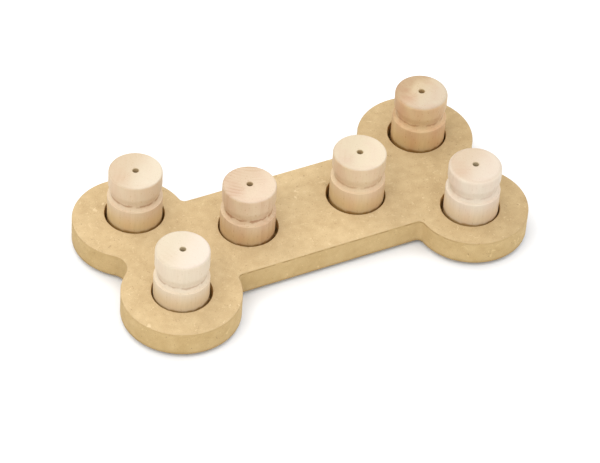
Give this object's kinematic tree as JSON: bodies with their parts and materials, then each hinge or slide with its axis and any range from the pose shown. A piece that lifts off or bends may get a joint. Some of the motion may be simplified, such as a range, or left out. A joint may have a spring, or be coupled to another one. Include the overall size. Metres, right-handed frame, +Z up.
{
  "type": "dog puzzle feeder",
  "caption": "Bone-shaped fibreboard puzzle feeder for a dog, with blind wells for treats and loose turned wooden pegs that lift out of them.",
  "frame": {"origin": "on the floor, under the middle of the bone", "axes": "+X along the bone, +Y to its back, +Z up"},
  "size_m": [0.2946, 0.157, 0.059],
  "materials": {
    "fibreboard": "sanded, unpainted medium density fibreboard",
    "peg_wood_honey": "turned and sanded, unpainted",
    "peg_wood_cream": "turned and sanded, unpainted",
    "peg_wood_rose": "turned and sanded, unpainted",
    "peg_wood_sand": "turned and sanded, unpainted",
    "peg_wood_tan": "turned and sanded, unpainted",
    "peg_wood_blush": "turned and sanded, unpainted",
    "foot_rubber": "matt"
  },
  "bodies": {
    "board": {"board": "fibreboard", "foot_back_left": "foot_rubber", "foot_front_left": "foot_rubber", "foot_back_right": "foot_rubber", "foot_front_right": "foot_rubber"},
    "peg_back_left": {"peg_back_left": "peg_wood_honey"},
    "peg_front_left": {"peg_front_left": "peg_wood_cream"},
    "peg_mid_left": {"peg_mid_left": "peg_wood_rose"},
    "peg_mid_right": {"peg_mid_right": "peg_wood_sand"},
    "peg_back_right": {"peg_back_right": "peg_wood_tan"},
    "peg_front_right": {"peg_front_right": "peg_wood_blush"}
  },
  "joints": [
    {"name": "lift_back_left", "type": "slide", "parent": "board", "child": "peg_back_left", "axis": [0, 0, 1], "range_m": [0, 0.06]},
    {"name": "lift_front_left", "type": "slide", "parent": "board", "child": "peg_front_left", "axis": [0, 0, 1], "range_m": [0, 0.06]},
    {"name": "lift_mid_left", "type": "slide", "parent": "board", "child": "peg_mid_left", "axis": [0, 0, 1], "range_m": [0, 0.06]},
    {"name": "lift_mid_right", "type": "slide", "parent": "board", "child": "peg_mid_right", "axis": [0, 0, 1], "range_m": [0, 0.06]},
    {"name": "lift_back_right", "type": "slide", "parent": "board", "child": "peg_back_right", "axis": [0, 0, 1], "range_m": [0, 0.06]},
    {"name": "lift_front_right", "type": "slide", "parent": "board", "child": "peg_front_right", "axis": [0, 0, 1], "range_m": [0, 0.06]}
  ]
}
